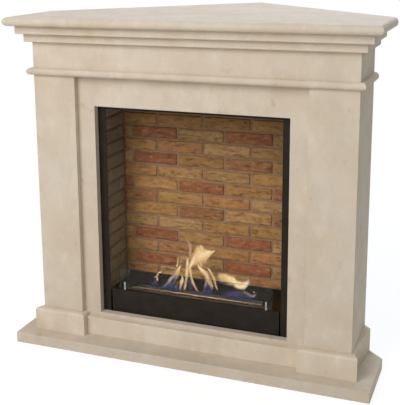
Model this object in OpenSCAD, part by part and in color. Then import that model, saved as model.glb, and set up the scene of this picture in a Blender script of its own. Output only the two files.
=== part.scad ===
// Corner fireplace: a stone mantel that stands in the right-angled corner of a room.
// Its steel firebox is lined with brick-faced boards and holds a spirit burner, whose
// long slot is opened and closed by a sliding shutter.
// X runs across the front, Y runs back into the corner, Z is up from the floor.

/* [Mantel plan] */
// Width across the outer faces of the two pilasters
body_w = 968; // [900:1:1100]
// Depth of the sides, from the pilaster face back to the wall
side_d = 206; // [180:1:260]
// Width of one pilaster
pilaster_w = 135; // [110:1:145]
// Thickness of the pilaster and frieze facings
face_t = 18; // [14:1:24]
// Thickness of the frame panels and side panels
panel_t = 22; // [18:1:30]

/* [Mantel heights] */
// Thickness of the hearth slab
hearth_t = 33; // [28:1:45]
// Height of the plinth blocks
plinth_h = 68; // [60:1:85]
// Height of the plinth rail between the blocks
rail_h = 57; // [45:1:60]
// Height of the pilasters
pilaster_h = 737; // [720:1:800]
// Height of the half-round band under the frieze
astragal_h = 20; // [16:1:24]
// Height of the frieze between the band and the bed mouldings
frieze_h = 78; // [60:1:100]
// Height of the lower bed moulding
bed_lower_h = 24; // [18:1:30]
// Height of the upper bed moulding
bed_upper_h = 24; // [18:1:30]
// Thickness of the mantel shelf
shelf_t = 26; // [20:1:34]

/* [Overhangs] */
// How far the hearth slab stands out in front of the pilasters
hearth_front = 70; // [50:1:90]
// How far the hearth slab stands out at the sides
hearth_side = 64; // [50:1:80]
// How far the plinth blocks stand out in front of the pilasters
plinth_front = 23; // [14:1:28]
// How far the plinth blocks stand out at the outer sides
plinth_side = 20; // [14:1:26]
// How far a plinth block stands out on the side of the opening
plinth_inner_over = 15; // [14:1:20]
// How far the plinth rail stands out
rail_over = 2; // [0:1:8]
// How far the half-round band stands out
astragal_over = 16; // [12:1:24]
// How far the lower bed moulding stands out
bed_lower_over = 18; // [12:1:24]
// How far the upper bed moulding stands out
bed_upper_over = 36; // [28:1:42]
// How far the shelf stands out
shelf_over = 62; // [48:1:80]
// How far the shelf reaches back past the body, which leaves room for a skirting board
shelf_back = 47; // [0:1:60]
// Radius of the rounded top edge of the plinth blocks
plinth_r = 8; // [4:1:14]
// Radius of the softened edges of the bed mouldings
bed_r = 2; // [1:0.5:5]

/* [Opening] */
// Width of the fire opening
opening_w = 590; // [540:1:620]
// Height of the sill above the hearth slab
sill_h = 69; // [64:1:75]
// Height of the fire opening
opening_h = 647; // [600:1:660]

/* [Firebox] */
// Thickness of the firebox sheet steel
steel_t = 1.5; // [1:0.5:3]
// Thickness of the front flange
flange_t = 2; // [1.5:0.5:4]
// How much of the flange shows at each side of the stone opening
flange_side_show = 25; // [18:1:32]
// How much of the flange shows at the top of the stone opening
flange_top_show = 10; // [6:1:20]
// How far the flange reaches behind the stone
flange_lap = 34; // [20:1:45]
// Depth from the flange to the brick face at the back
firebox_d = 138; // [130:1:180]
// Height of the support rails that carry the firebox
stand_h = 46; // [30:1:50]
// Width of a support rail
stand_w = 40; // [30:1:60]
// Space from the top of the opening to the firebox roof
head_room = 24; // [15:1:40]

/* [Brick lining] */
// How far the brick faces stand inside the stone opening
brick_in = 18; // [12:1:26]
// Thickness of a lining board at its mortar face
board_t = 18; // [12:1:25]
// How far the bricks stand out of the mortar
brick_relief = 4; // [2:0.5:6]
// Length of a brick
brick_l = 143; // [120:1:190]
// Height of a brick
brick_h = 33; // [28:1:50]
// Width of a mortar joint
joint_w = 8; // [5:1:12]
// How far the bricks of every second course are shifted along the wall
bond_shift = 68; // [40:1:80]

/* [Burner] */
// Height of the burner housing
housing_h = 92; // [80:1:95]
// Gap from the housing to the brick face at each side
housing_gap = 12; // [2:1:16]
// Thickness of the deck plate
deck_t = 2; // [1.5:0.5:3]
// Height of the folded edge at the back of the deck
upstand_h = 14; // [8:1:18]
// Length of the flame slot
slot_l = 402; // [300:1:440]
// Width of the flame slot
slot_w = 28; // [20:1:34]
// Distance from the front of the deck to the flame slot
slot_y = 35; // [30:1:38]
// Thickness of the slot plate
slot_plate_t = 1.5; // [1:0.5:2]
// Height of the bright lip in front of the slot
lip_h = 3; // [2:0.5:5]
// Depth of the fuel tray below the deck
tray_h = 55; // [40:1:70]
// Thickness of the fuel tray wall
tray_wall = 1.2; // [1:0.1:2]
// Height of the ceramic wool pad in the tray
wool_h = 38; // [20:1:38]
// Thickness of the shutter
shutter_t = 2; // [1.5:0.5:3]
// How far the shutter covers the plate beyond the slot at each edge
shutter_lap = 4; // [2:1:6]
// Running clearance of the shutter in its guides
run_gap = 0.3; // [0.2:0.1:0.5]
// Radius of the shutter knob
knob_r = 6; // [4:0.5:8]
// Height of the shutter knob
knob_h = 15; // [10:1:20]
// Distance of the knob from the end of the slot
knob_in = 35; // [10:1:80]

/* [Glass screen] */
// Width of the glass screen
glass_w = 486; // [440:1:500]
// Height of the glass screen
glass_h = 64; // [50:1:90]
// Thickness of the glass
glass_t = 3; // [3:0.5:4]
// Distance of each glass post from the end of the glass
post_inset = 18; // [10:1:40]
// Radius of a glass post
post_r = 3.5; // [3.5:0.5:5]
// Height of a glass post
post_h = 24; // [16:1:34]

/* [Wall brackets] */
// Spacing of the two wall brackets along X
bracket_spacing = 500; // [360:1:640]
// Length of a bracket along the wall
bracket_l = 70; // [50:1:100]
// Width of each bracket leaf
bracket_leaf = 40; // [30:1:60]
// Thickness of the bracket steel
bracket_t = 3; // [2:0.5:4]
// Radius of the hole for the wall screw
wall_hole_r = 3.25; // [2.5:0.25:4.5]
// Radius of the screws that hold bracket and deck
screw_r = 2; // [1.5:0.25:2.5]
// Length of the bracket screws
screw_l = 14; // [10:1:16]

/* [Hidden] */
$fn = 48;

half_w = body_w / 2;
// Distance from the pilaster face to the line where the two walls meet
apex = side_d + half_w;
// The same line where the shelf meets the walls
shelf_apex = apex + shelf_back;
// The pilaster face in the object's frame, with the plan centred on Y = 0
face_y = -(shelf_apex - hearth_front) / 2;

plinth_top = hearth_t + plinth_h;
pilaster_top = plinth_top + pilaster_h;
astragal_top = pilaster_top + astragal_h;
frieze_top = astragal_top + frieze_h;
bed_lower_top = frieze_top + bed_lower_h;
bed_upper_top = bed_lower_top + bed_upper_h;

pilaster_in = half_w - pilaster_w;
plinth_in = pilaster_in - plinth_inner_over;
opening_half = opening_w / 2;
sill_top = hearth_t + sill_h;
opening_top = sill_top + opening_h;

firebox_y = face_t + panel_t;
brick_t = board_t + brick_relief;
lining_half = opening_half - brick_in;
lining_back = firebox_y + firebox_d;
board_gap = 0.5;
shell_half = lining_half + brick_t + board_gap;
shell_back = lining_back + brick_t + board_gap;
shell_front = firebox_y + flange_t;
floor_top = hearth_t + stand_h + steel_t;
roof_z = opening_top + head_room;

course = brick_h + joint_w;
brick_step = brick_l + joint_w;
// Bottom of the lowest course
first_course = floor_top + 17;

housing_half = lining_half - housing_gap;
housing_y = shell_front + 0.5;
housing_back = lining_back - 2;
deck_z = floor_top + housing_h;
deck_top = deck_z + deck_t;
slot_front = housing_y + slot_y;
slot_back = slot_front + slot_w;
tray_side = 2;
tray_front = slot_front - tray_side - tray_wall;
tray_back = slot_back + tray_side + tray_wall;
tray_half = slot_l / 2 + tray_side + tray_wall;
cut_gap = 0.5;
plate_lap = 8;
slot_plate_top = deck_top + slot_plate_t;
shutter_z = slot_plate_top + run_gap;
shutter_d = slot_w + 2 * shutter_lap;
shutter_half = slot_l / 2 + 12;
shutter_y = slot_back + 2;
shutter_travel = shutter_y - slot_front + shutter_lap;
lip_back = shutter_y - shutter_travel - 0.5;
lip_t = 4;
guide_t = 3;
cap_t = 1.5;
guide_hold = 5;
guide_top = shutter_z + shutter_t + run_gap;
guide_front = shutter_y - shutter_travel - 4;
guide_back = shutter_y + shutter_d + 4;
post_y = housing_y + 7;
glass_gap = 0.3;
tab_w = 30;
pilot_gap = 0.1;

// Points of the pentagonal plan that stands out from the body at the front, sides and back
function plan(front, side, back) = [
    [-half_w - side, -front], [half_w + side, -front], [half_w + side, side_d + back - side],
    [0, apex + back], [-half_w - side, side_d + back - side]
];

module placed() {
    translate([0, face_y, 0]) children();
}

module block(x0, x1, y0, y1, z0, z1) {
    translate([x0, y0, z0]) cube([x1 - x0, y1 - y0, z1 - z0]);
}

// Outline of a bar whose outer edge, at zero, is rounded at top and bottom
module nose_profile(depth, h, r) {
    translate([r, 0]) square([depth - r, h]);
    translate([r, r]) circle(r);
    translate([r, h - r]) circle(r);
    if (h > 2 * r) translate([0, r]) square([r, h - 2 * r]);
}

// Bar along X with its rounded edge towards the front
module front_bar(over, depth, z0, h, r, w) {
    translate([-w / 2, -over, z0]) rotate([90, 0, 90])
        linear_extrude(w) nose_profile(depth, h, r);
}

// Bar along Y with its rounded edge towards the right
module side_bar(over, depth, z0, h, r, y1) {
    translate([half_w + over, y1, z0]) rotate([90, 0, 0])
        mirror([1, 0, 0]) linear_extrude(y1 + over) nose_profile(depth, h, r);
}

// Front length of a moulding, mitred at both ends
module mitred_front(over, seat, z0, h, r) {
    corner_out = half_w + over;
    corner_in = half_w - seat;
    intersection() {
        front_bar(over, over + seat, z0, h, r, 2 * corner_out);
        translate([0, 0, z0]) linear_extrude(h) polygon([
            [-corner_out, -over], [corner_out, -over], [corner_in, seat], [-corner_in, seat]
        ]);
    }
}

// Right-hand return of a moulding, mitred at the corner and cut to the wall
module mitred_return(over, seat, z0, h, r) {
    corner_out = half_w + over;
    corner_in = half_w - seat;
    intersection() {
        side_bar(over, over + seat, z0, h, r, apex);
        translate([0, 0, z0]) linear_extrude(h) polygon([
            [corner_in, seat], [corner_out, -over],
            [corner_out, side_d - over], [corner_in, side_d + seat]
        ]);
    }
}

// Slab that covers the whole plan, with rounded front and side edges
module nosed_slab(over, back, z0, h, r) {
    reach = 2 * (half_w + over);
    y1 = apex + back;
    intersection() {
        translate([0, 0, z0]) linear_extrude(h) polygon(plan(over, over, back));
        front_bar(over, y1 + over, z0, h, r, reach);
        side_bar(over, reach + r, z0, h, r, y1);
        mirror([1, 0, 0]) side_bar(over, reach + r, z0, h, r, y1);
    }
}

// The right-hand plinth block wraps the foot of the pilaster and the side panel.
// Its top edge is a quarter round on the front and on both sides.
module plinth_block() {
    out = half_w + plinth_side;
    r = plinth_r;
    intersection() {
        translate([0, 0, hearth_t]) linear_extrude(plinth_h) polygon([
            [plinth_in, -plinth_front], [out, -plinth_front], [out, side_d - plinth_side],
            [half_w, side_d], [half_w, face_t], [plinth_in, face_t]
        ]);
        translate([0, -plinth_front, hearth_t]) rotate([90, 0, 90])
            linear_extrude(out) quarter_profile(apex, plinth_h, r);
        translate([out, apex, hearth_t]) rotate([90, 0, 0]) mirror([1, 0, 0])
            linear_extrude(apex + plinth_front) intersection() {
                quarter_profile(out, plinth_h, r);
                translate([out - plinth_in, 0]) mirror([1, 0, 0])
                    quarter_profile(out, plinth_h, r);
            }
    }
}

// Outline of a bar whose top outer edge, at zero, is a quarter round
module quarter_profile(depth, h, r) {
    square([depth, h - r]);
    translate([r, h - r]) circle(r);
    translate([r, 0]) square([depth - r, h]);
}

// Bricks that stand out towards -Y from a mortar face at Y = 0
module brick_relief_rows(x0, x1, z0, z1, joint_x) {
    rows = ceil((z1 - z0) / course);
    count = ceil((x1 - x0) / brick_step) + 1;
    for (row = [0 : rows - 1])
        for (i = [-count : count]) {
            start = joint_x + joint_w / 2 + i * brick_step + (row % 2) * bond_shift;
            left = max(x0, start);
            right = min(x1, start + brick_l);
            z = z0 + row * course;
            if (right - left > joint_w) translate([left, -brick_relief, z])
                cube([right - left, brick_relief + board_t / 2, min(brick_h, z1 - z)]);
        }
}

module hearth_slab() {
    color([0.80, 0.75, 0.66]) placed()
        linear_extrude(hearth_t) polygon(plan(hearth_front, hearth_side, 0));
}

module plinth_right() {
    color([0.82, 0.77, 0.69]) placed() plinth_block();
}

module plinth_left() {
    mirror([1, 0, 0]) plinth_right();
}

module plinth_rail() {
    color([0.81, 0.76, 0.68]) placed()
        block(-plinth_in, plinth_in, -rail_over, face_t, hearth_t, hearth_t + rail_h);
}

module pilaster_right() {
    color([0.83, 0.79, 0.71]) placed()
        block(pilaster_in, half_w, 0, face_t, plinth_top, pilaster_top);
}

module pilaster_left() {
    mirror([1, 0, 0]) pilaster_right();
}

module side_panel_right() {
    color([0.72, 0.68, 0.61]) placed() translate([0, 0, hearth_t])
        linear_extrude(frieze_top - hearth_t) polygon([
            [half_w - panel_t, face_t], [half_w, face_t],
            [half_w, side_d], [half_w - panel_t, side_d + panel_t]
        ]);
}

module side_panel_left() {
    mirror([1, 0, 0]) side_panel_right();
}

module stile_right() {
    color([0.80, 0.76, 0.68]) placed()
        block(opening_half, half_w - panel_t, face_t, firebox_y, hearth_t, frieze_top);
}

module stile_left() {
    mirror([1, 0, 0]) stile_right();
}

module sill_panel() {
    color([0.80, 0.76, 0.68]) placed()
        block(-opening_half, opening_half, face_t, firebox_y, hearth_t, sill_top);
}

module header_panel() {
    color([0.80, 0.76, 0.68]) placed()
        block(-opening_half, opening_half, face_t, firebox_y, opening_top, frieze_top);
}

module frieze() {
    color([0.83, 0.79, 0.71]) placed()
        block(-half_w, half_w, 0, face_t, pilaster_top, frieze_top);
}

module astragal_front() {
    color([0.84, 0.80, 0.72]) placed()
        mitred_front(astragal_over, 0, pilaster_top, astragal_h, astragal_h / 2);
}

module astragal_right() {
    color([0.84, 0.80, 0.72]) placed()
        mitred_return(astragal_over, 0, pilaster_top, astragal_h, astragal_h / 2);
}

module astragal_left() {
    mirror([1, 0, 0]) astragal_right();
}

module bed_lower_front() {
    color([0.82, 0.78, 0.70]) placed()
        mitred_front(bed_lower_over, panel_t, frieze_top, bed_lower_h, bed_r);
}

module bed_lower_right() {
    color([0.82, 0.78, 0.70]) placed()
        mitred_return(bed_lower_over, panel_t, frieze_top, bed_lower_h, bed_r);
}

module bed_lower_left() {
    mirror([1, 0, 0]) bed_lower_right();
}

module bed_upper_front() {
    color([0.82, 0.78, 0.70]) placed()
        mitred_front(bed_upper_over, panel_t, bed_lower_top, bed_upper_h, bed_r);
}

module bed_upper_right() {
    color([0.82, 0.78, 0.70]) placed()
        mitred_return(bed_upper_over, panel_t, bed_lower_top, bed_upper_h, bed_r);
}

module bed_upper_left() {
    mirror([1, 0, 0]) bed_upper_right();
}

module mantel_shelf() {
    color([0.86, 0.82, 0.76]) difference() {
        placed() nosed_slab(shelf_over, shelf_back, bed_upper_top, shelf_t, shelf_t / 2);
        bracket_screw_places() cylinder(h = screw_l, r = screw_r + pilot_gap);
    }
}

// Folded rails that stand on the hearth slab under the firebox
module support_right() {
    color([0.15, 0.15, 0.16]) placed() difference() {
        block(lining_half - stand_w, lining_half, shell_front, shell_back, hearth_t, hearth_t + stand_h);
        block(lining_half - stand_w - 1, lining_half - steel_t, shell_front - 1, shell_back + 1,
            hearth_t + steel_t, hearth_t + stand_h - steel_t);
    }
}

module support_left() {
    mirror([1, 0, 0]) support_right();
}

module firebox_floor() {
    side = shell_half + steel_t;
    color([0.12, 0.12, 0.13]) placed()
        block(-side, side, shell_front, shell_back + steel_t, hearth_t + stand_h, floor_top);
}

module firebox_side_right() {
    color([0.12, 0.12, 0.13]) placed()
        block(shell_half, shell_half + steel_t, shell_front, shell_back, floor_top, roof_z);
}

module firebox_side_left() {
    mirror([1, 0, 0]) firebox_side_right();
}

module firebox_back() {
    side = shell_half + steel_t;
    color([0.12, 0.12, 0.13]) placed()
        block(-side, side, shell_back, shell_back + steel_t, floor_top, roof_z);
}

module firebox_roof() {
    side = shell_half + steel_t;
    color([0.12, 0.12, 0.13]) placed()
        block(-side, side, shell_front, shell_back + steel_t, roof_z, roof_z + steel_t);
}

// Three-sided frame that covers the edge of the lining boards
module front_flange() {
    out = opening_half + flange_lap;
    inner = opening_half - flange_side_show;
    color([0.10, 0.10, 0.11]) placed() difference() {
        block(-out, out, firebox_y, shell_front, floor_top, opening_top + flange_lap);
        block(-inner, inner, firebox_y - 1, shell_front + 1,
            floor_top - 1, opening_top - flange_top_show);
    }
}

module brick_board_back() {
    side = shell_half - board_gap;
    mortar_y = lining_back + brick_relief;
    color([0.62, 0.42, 0.24]) placed() {
        block(-side, side, mortar_y, mortar_y + board_t, floor_top, roof_z);
        translate([0, mortar_y, 0]) brick_relief_rows(
            -lining_half + board_gap, lining_half - board_gap, first_course, roof_z, -14);
    }
}

module brick_board_left() {
    mortar_x = lining_half + brick_relief;
    board_d = lining_back + brick_relief - shell_front;
    color([0.55, 0.38, 0.23]) placed() translate([-mortar_x, shell_front, 0]) rotate([0, 0, 90]) {
        block(0, board_d, 0, board_t, floor_top, roof_z);
        brick_relief_rows(0, firebox_d - flange_t, first_course, roof_z, 32);
    }
}

module brick_board_right() {
    mirror([1, 0, 0]) brick_board_left();
}

// Folded case of the burner, open at the top and the bottom, with four tabs for the deck
module burner_housing() {
    side = housing_half - steel_t;
    color([0.11, 0.11, 0.12]) difference() {
        placed() {
            difference() {
                block(-housing_half, housing_half, housing_y, housing_back, floor_top, deck_z);
                block(-side, side, housing_y + steel_t, housing_back - steel_t,
                    floor_top - 1, deck_z + 1);
            }
            for (x = [-side, side - tab_w], y = [housing_y, housing_back - tab_w])
                block(x, x + tab_w, y, y + tab_w, deck_z - steel_t, deck_z);
        }
        deck_screw_places() translate([0, 0, deck_z - steel_t - 1])
            cylinder(h = steel_t + 2, r = screw_r + pilot_gap);
    }
}

module deck_screw_places() {
    screw_in = 16;
    for (x = [-1, 1], y = [housing_y + screw_in, housing_back - screw_in])
        placed() translate([x * (housing_half - screw_in), y, 0]) children();
}

module deck_plate() {
    cut_x = tray_half + cut_gap;
    color([0.13, 0.13, 0.14]) difference() {
        placed() block(-housing_half, housing_half, housing_y, housing_back, deck_z, deck_top);
        placed() block(-cut_x, cut_x, tray_front - cut_gap, tray_back + cut_gap,
            deck_z - 1, deck_top + 1);
        deck_screw_places() translate([0, 0, deck_z - 1])
            cylinder(h = deck_t + 2, r = screw_r + pilot_gap);
    }
}

// Strip that closes the gap between the deck and the brick face
module deck_upstand() {
    color([0.12, 0.12, 0.13]) placed()
        block(-housing_half, housing_half, housing_back - deck_t, housing_back,
            deck_top, deck_top + upstand_h);
}

module deck_screws() {
    color([0.2, 0.2, 0.2]) deck_screw_places() {
        translate([0, 0, deck_z - 6]) cylinder(h = deck_t + 6, r = screw_r);
        translate([0, 0, deck_top]) cylinder(h = screw_r, r = 2 * screw_r);
    }
}

module fuel_tray() {
    color([0.72, 0.72, 0.73]) placed() difference() {
        block(-tray_half, tray_half, tray_front, tray_back, deck_top - tray_h, deck_top);
        block(-tray_half + tray_wall, tray_half - tray_wall, tray_front + tray_wall,
            tray_back - tray_wall, deck_top - tray_h + tray_wall, deck_top + 1);
    }
}

module wool_pad() {
    side = tray_half - tray_wall;
    z0 = deck_top - tray_h + tray_wall;
    color([0.90, 0.89, 0.86]) placed()
        block(-side, side, tray_front + tray_wall, tray_back - tray_wall, z0, z0 + wool_h);
}

// Stainless plate that hangs the tray in the deck
module slot_plate() {
    side = shutter_half;
    color([0.70, 0.69, 0.67]) placed() difference() {
        block(-side, side, tray_front - plate_lap, tray_back + plate_lap, deck_top, slot_plate_top);
        block(-slot_l / 2, slot_l / 2, slot_front, slot_back, deck_top - 1, slot_plate_top + 1);
    }
}

// Bright bar that stops the shutter in front of the slot
module slot_lip() {
    side = shutter_half - guide_hold - 1;
    color([0.85, 0.78, 0.68]) placed()
        block(-side, side, lip_back - lip_t, lip_back, slot_plate_top, slot_plate_top + lip_h);
}

// Bar beside the shutter's end, and the strip over it that holds the shutter down
module guide_bar_right() {
    x_bar = shutter_half + run_gap;
    color([0.16, 0.16, 0.17]) placed()
        block(x_bar, x_bar + guide_t, guide_front, guide_back, deck_top, guide_top);
}

module guide_bar_left() {
    mirror([1, 0, 0]) guide_bar_right();
}

module guide_cap_right() {
    x_in = shutter_half - guide_hold;
    x_out = shutter_half + run_gap + guide_t;
    color([0.16, 0.16, 0.17]) placed()
        block(x_in, x_out, guide_front, guide_back, guide_top, guide_top + cap_t);
}

module guide_cap_left() {
    mirror([1, 0, 0]) guide_cap_right();
}

module shutter() {
    color([0.2, 0.2, 0.21]) placed() difference() {
        block(-shutter_half, shutter_half, shutter_y, shutter_y + shutter_d,
            shutter_z, shutter_z + shutter_t);
        translate([slot_l / 2 - knob_in, shutter_y + shutter_d / 2, shutter_z - 1])
            cylinder(h = shutter_t + 2, r = screw_r + pilot_gap);
    }
}

// Turned knob with a waist, riveted through the shutter
module shutter_knob() {
    z = shutter_z + shutter_t;
    waist = 0.55 * knob_r;
    x = slot_l / 2 - knob_in;
    color([0.85, 0.85, 0.86]) placed() translate([x, shutter_y + shutter_d / 2, 0]) {
        translate([0, 0, z - shutter_t]) cylinder(h = shutter_t + 1, r = screw_r);
        translate([0, 0, z]) cylinder(h = 0.2 * knob_h, r = knob_r);
        translate([0, 0, z]) cylinder(h = 0.6 * knob_h, r = waist);
        translate([0, 0, z + 0.6 * knob_h]) cylinder(h = 0.4 * knob_h, r = knob_r);
    }
}

// Chrome post with a sawn slot that grips the foot of the glass
module glass_post_right() {
    slot = glass_t + 2 * glass_gap;
    slot_z = deck_top + post_r;
    color([0.86, 0.86, 0.87]) placed() difference() {
        translate([glass_w / 2 - post_inset, post_y, deck_top]) union() {
            cylinder(h = post_h, r = post_r);
            cylinder(h = post_r / 2, r = post_r + 1.5);
        }
        block(0, half_w, post_y - slot / 2, post_y + slot / 2, slot_z, deck_top + post_h + 1);
    }
}

module glass_post_left() {
    mirror([1, 0, 0]) glass_post_right();
}

module glass_screen() {
    z0 = deck_top + post_r;
    color([0.75, 0.85, 0.82, 0.35]) placed()
        block(-glass_w / 2, glass_w / 2, post_y - glass_t / 2, post_y + glass_t / 2, z0, z0 + glass_h);
}

// Puts a bracket frame on the right-hand wall: X along the wall, -Y into the mantel
module at_right_wall() {
    x = bracket_spacing / 2;
    placed() translate([x, shelf_apex - x, 0]) rotate([0, 0, -45]) children();
}

module bracket_screw_places() {
    for (side = [0, 1], x = [-1, 1])
        mirror([side, 0, 0]) at_right_wall()
            translate([x * bracket_l / 4, -bracket_leaf / 2, bed_upper_top]) children();
}

// Angle under the shelf, with one leaf against the wall
module wall_bracket_right() {
    z1 = bed_upper_top;
    hole_r = screw_r + 0.4;
    color([0.6, 0.6, 0.62]) at_right_wall() difference() {
        union() {
            block(-bracket_l / 2, bracket_l / 2, -bracket_leaf, 0, z1 - bracket_t, z1);
            block(-bracket_l / 2, bracket_l / 2, -bracket_t, 0, z1 - bracket_leaf, z1);
        }
        translate([0, 1, z1 - bracket_leaf / 2 - bracket_t / 2]) rotate([90, 0, 0])
            cylinder(h = bracket_t + 2, r = wall_hole_r);
        for (x = [-1, 1]) translate([x * bracket_l / 4, -bracket_leaf / 2, z1 - bracket_t - 1])
            cylinder(h = bracket_t + 2, r = hole_r);
    }
}

module wall_bracket_left() {
    mirror([1, 0, 0]) wall_bracket_right();
}

module bracket_screws() {
    color([0.7, 0.7, 0.72]) bracket_screw_places() {
        translate([0, 0, -bracket_t]) cylinder(h = bracket_t + screw_l - 1, r = screw_r);
        translate([0, 0, -bracket_t - screw_r]) cylinder(h = screw_r, r = 2 * screw_r);
    }
}

hearth_slab();
plinth_left();
plinth_right();
plinth_rail();
pilaster_left();
pilaster_right();
side_panel_left();
side_panel_right();
stile_left();
stile_right();
sill_panel();
header_panel();
frieze();
astragal_front();
astragal_left();
astragal_right();
bed_lower_front();
bed_lower_left();
bed_lower_right();
bed_upper_front();
bed_upper_left();
bed_upper_right();
mantel_shelf();
support_left();
support_right();
firebox_floor();
firebox_side_left();
firebox_side_right();
firebox_back();
firebox_roof();
front_flange();
brick_board_back();
brick_board_left();
brick_board_right();
burner_housing();
deck_plate();
deck_upstand();
deck_screws();
fuel_tray();
wool_pad();
slot_plate();
slot_lip();
guide_bar_left();
guide_bar_right();
guide_cap_left();
guide_cap_right();
shutter();
shutter_knob();
glass_post_left();
glass_post_right();
glass_screen();
wall_bracket_left();
wall_bracket_right();
bracket_screws();
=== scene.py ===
import math
import random

import bmesh
import bpy
from mathutils import Matrix, Vector, noise


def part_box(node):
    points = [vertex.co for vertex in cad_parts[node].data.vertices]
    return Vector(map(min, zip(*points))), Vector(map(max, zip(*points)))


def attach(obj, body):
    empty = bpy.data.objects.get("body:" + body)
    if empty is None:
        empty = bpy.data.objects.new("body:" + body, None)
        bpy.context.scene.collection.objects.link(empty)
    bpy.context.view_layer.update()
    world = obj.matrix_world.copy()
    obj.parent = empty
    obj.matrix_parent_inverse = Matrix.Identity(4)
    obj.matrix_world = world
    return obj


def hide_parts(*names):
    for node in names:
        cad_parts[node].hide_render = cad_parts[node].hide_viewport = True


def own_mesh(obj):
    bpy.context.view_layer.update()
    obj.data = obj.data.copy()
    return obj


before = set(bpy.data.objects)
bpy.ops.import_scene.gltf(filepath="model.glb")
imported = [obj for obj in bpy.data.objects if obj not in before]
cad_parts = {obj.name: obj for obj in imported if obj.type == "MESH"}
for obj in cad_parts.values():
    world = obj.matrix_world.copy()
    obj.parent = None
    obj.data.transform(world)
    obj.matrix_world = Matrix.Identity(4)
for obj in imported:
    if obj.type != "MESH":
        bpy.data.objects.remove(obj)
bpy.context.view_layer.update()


# ---------------------------------------------------------------- Camera
# Stands at the right of the fireplace, a little above the shelf, and looks down at it.
# Its place, angles and lens were fitted to the corners of the mantel. The shift frames the
# object as the photograph does, where the lens points left of and above the middle.
photo_width, photo_height = 400, 405
lens_pixels = 870.86
centre_column, centre_row = 178, 140
sensor_width = 36
standpoint = (0.86842, -2.56343, 1.20419)
turned_left, tipped_down, rolled = 0.38074, 0.21865, -0.01175

camera_data = bpy.data.cameras.new("camera")
camera_data.sensor_width = sensor_width
camera_data.lens = lens_pixels * sensor_width / photo_height
camera_data.shift_x = (photo_width / 2 - centre_column) / photo_height
camera_data.shift_y = (centre_row - photo_height / 2) / photo_height
camera = bpy.data.objects.new("camera", camera_data)
bpy.context.scene.collection.objects.link(camera)
camera.matrix_world = (
    Matrix.Translation(standpoint)
    @ Matrix.Rotation(turned_left, 4, "Z")
    @ Matrix.Rotation(math.pi / 2 - tipped_down, 4, "X")
    @ Matrix.Rotation(rolled, 4, "Z")
)
bpy.context.scene.camera = camera


# ---------------------------------------------------------------- Light
# A soft box in front at the left, above the height of the shelf, a cool one behind and over
# the mantel, a faint reflector low at the left, and the even light of a pale room. The world
# is white only where it is looked at.
def hang_lamp(name, place, aim, size, watts, colour):
    """A square soft box, turned to face what it lights"""
    data = bpy.data.lights.new(name, "AREA")
    data.shape = "SQUARE"
    data.size = size
    data.energy = watts
    data.color = colour
    lamp = bpy.data.objects.new(name, data)
    lamp.location = place
    lamp.rotation_euler = (Vector(aim) - Vector(place)).to_track_quat("-Z", "Y").to_euler()
    bpy.context.scene.collection.objects.link(lamp)


hang_lamp("front_box", place=(-1.08, -3.52, 2.84), aim=(0, -0.2, 0.5), size=2.2, watts=96,
          colour=(1.0, 0.965, 0.985))
hang_lamp("top_box", place=(0.1, 1.6, 3.0), aim=(0, 0, 0.9), size=1.6, watts=36,
          colour=(0.76, 0.815, 1.0))
hang_lamp("reflector", place=(-1.7, -2.3, 0.15), aim=(-0.35, -0.3, 0.1), size=1.2, watts=2.6,
          colour=(1.0, 0.97, 0.95))


def add_step(tree, kind, inputs=None, **settings):
    """One step of a light or a finish. An input is a value or the output of another step."""
    step = tree.nodes.new("ShaderNode" + kind)
    for setting, value in settings.items():
        setattr(step, setting, value)
    for socket, value in (inputs or {}).items():
        if isinstance(value, bpy.types.NodeSocket):
            tree.links.new(value, step.inputs[socket])
        else:
            step.inputs[socket].default_value = value
    return step.outputs


def calculate(tree, operation, first, second=0.0):
    """One step of arithmetic with one or two numbers or patterns"""
    return add_step(tree, "Math", {0: first, 1: second}, operation=operation)[0]


def seen_directly(tree):
    """1 where the eye, a reflection or the view through glass meets it, 0 where it lights"""
    path = add_step(tree, "LightPath")
    seen = calculate(tree, "MAXIMUM", path["Is Camera Ray"], path["Is Glossy Ray"])
    return calculate(tree, "MAXIMUM", seen, path["Is Transmission Ray"])


white = (1, 1, 1, 1)
cool_daylight = (0.903, 0.984, 1.0, 1)
room_strength = 0.373
world = bpy.data.worlds.new("pale_room")
world.use_nodes = True
bpy.context.scene.world = world
bpy.context.scene.view_settings.view_transform = "Standard"
room = world.node_tree
room.nodes.clear()
room_light = add_step(room, "Background", {"Color": cool_daylight, "Strength": room_strength})[0]
room_seen = add_step(room, "Background", {"Color": white, "Strength": 1.0})[0]
room_mix = add_step(room, "MixShader", {0: seen_directly(room), 1: room_light, 2: room_seen})[0]
add_step(room, "OutputWorld", {"Surface": room_mix})


# ---------------------------------------------------------------- Floor
# Plain white floor. Close to the hearth it shows a faint shadow, and further out it fades
# into the white of the room.
floor_half = 9.0
shadow_within, white_beyond = 0.7, 1.7
pale_screed = (0.82, 0.78, 0.73, 1)
shadow_grey, glow_strength = (0.26, 0.26, 0.26, 1), 0.84


def make_piece(bm, name, finishes):
    """Turns a finished shape into a piece of the scene"""
    mesh = bpy.data.meshes.new(name)
    bm.to_mesh(mesh)
    bm.free()
    for finish in finishes:
        mesh.materials.append(finish)
    piece = bpy.data.objects.new(name, mesh)
    bpy.context.scene.collection.objects.link(piece)
    return piece


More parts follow.
